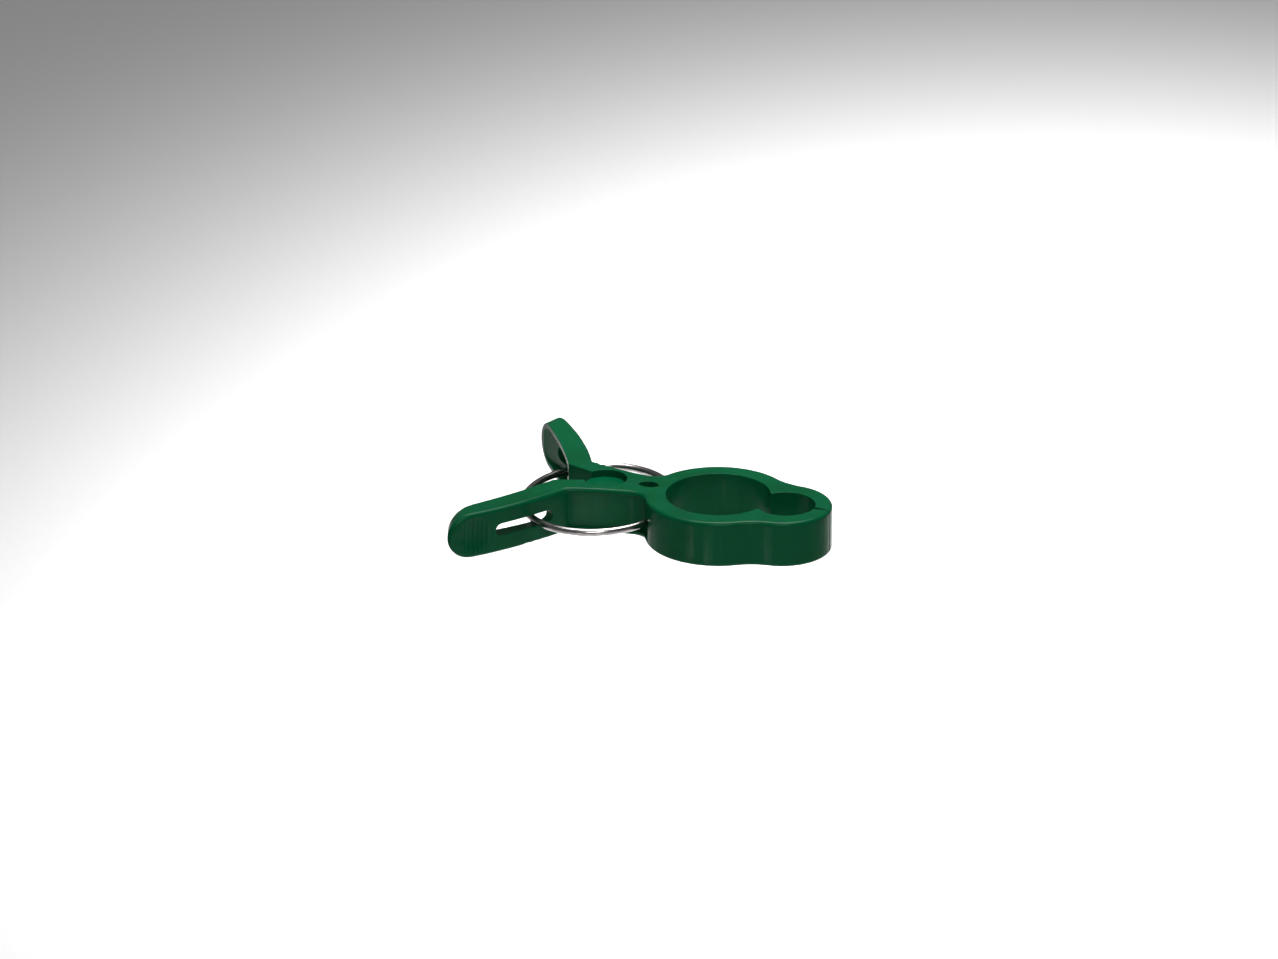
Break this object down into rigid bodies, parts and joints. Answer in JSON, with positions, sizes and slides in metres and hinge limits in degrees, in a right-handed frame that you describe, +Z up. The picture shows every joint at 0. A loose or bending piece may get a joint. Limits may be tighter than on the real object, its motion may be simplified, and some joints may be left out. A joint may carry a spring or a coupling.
{
  "type": "spring plant clip",
  "caption": "Spring plant clip: hinged moulded jaws with a round stem seat and a smaller cane seat, ribbed finger handles, and a wire ring that holds the jaws closed.",
  "frame": {"origin": "axis of the stem seat, at the clip's underside", "axes": "+X along the mid-plane towards the jaw tips, +Y towards the rear jaw, +Z up along the stem"},
  "size_m": [0.1209, 0.1008, 0.0162],
  "materials": {
    "jaw_plastic": "semi-gloss dark green moulded plastic",
    "spring_wire": "bright plated spring wire"
  },
  "bodies": {
    "front": {"front_jaw": "jaw_plastic", "spring_ring": "spring_wire"},
    "rear": {"rear_jaw": "jaw_plastic"}
  },
  "joints": [
    {"name": "jaw_hinge", "type": "hinge", "parent": "front", "child": "rear", "pos_m": [-0.0407, 0, 0.0081], "axis": [0, 0, 1], "range_deg": [0, 30], "stiffness_Nm_per_rad": 0.3, "springref_deg": -28.65, "deforming": ["spring_ring"]}
  ]
}
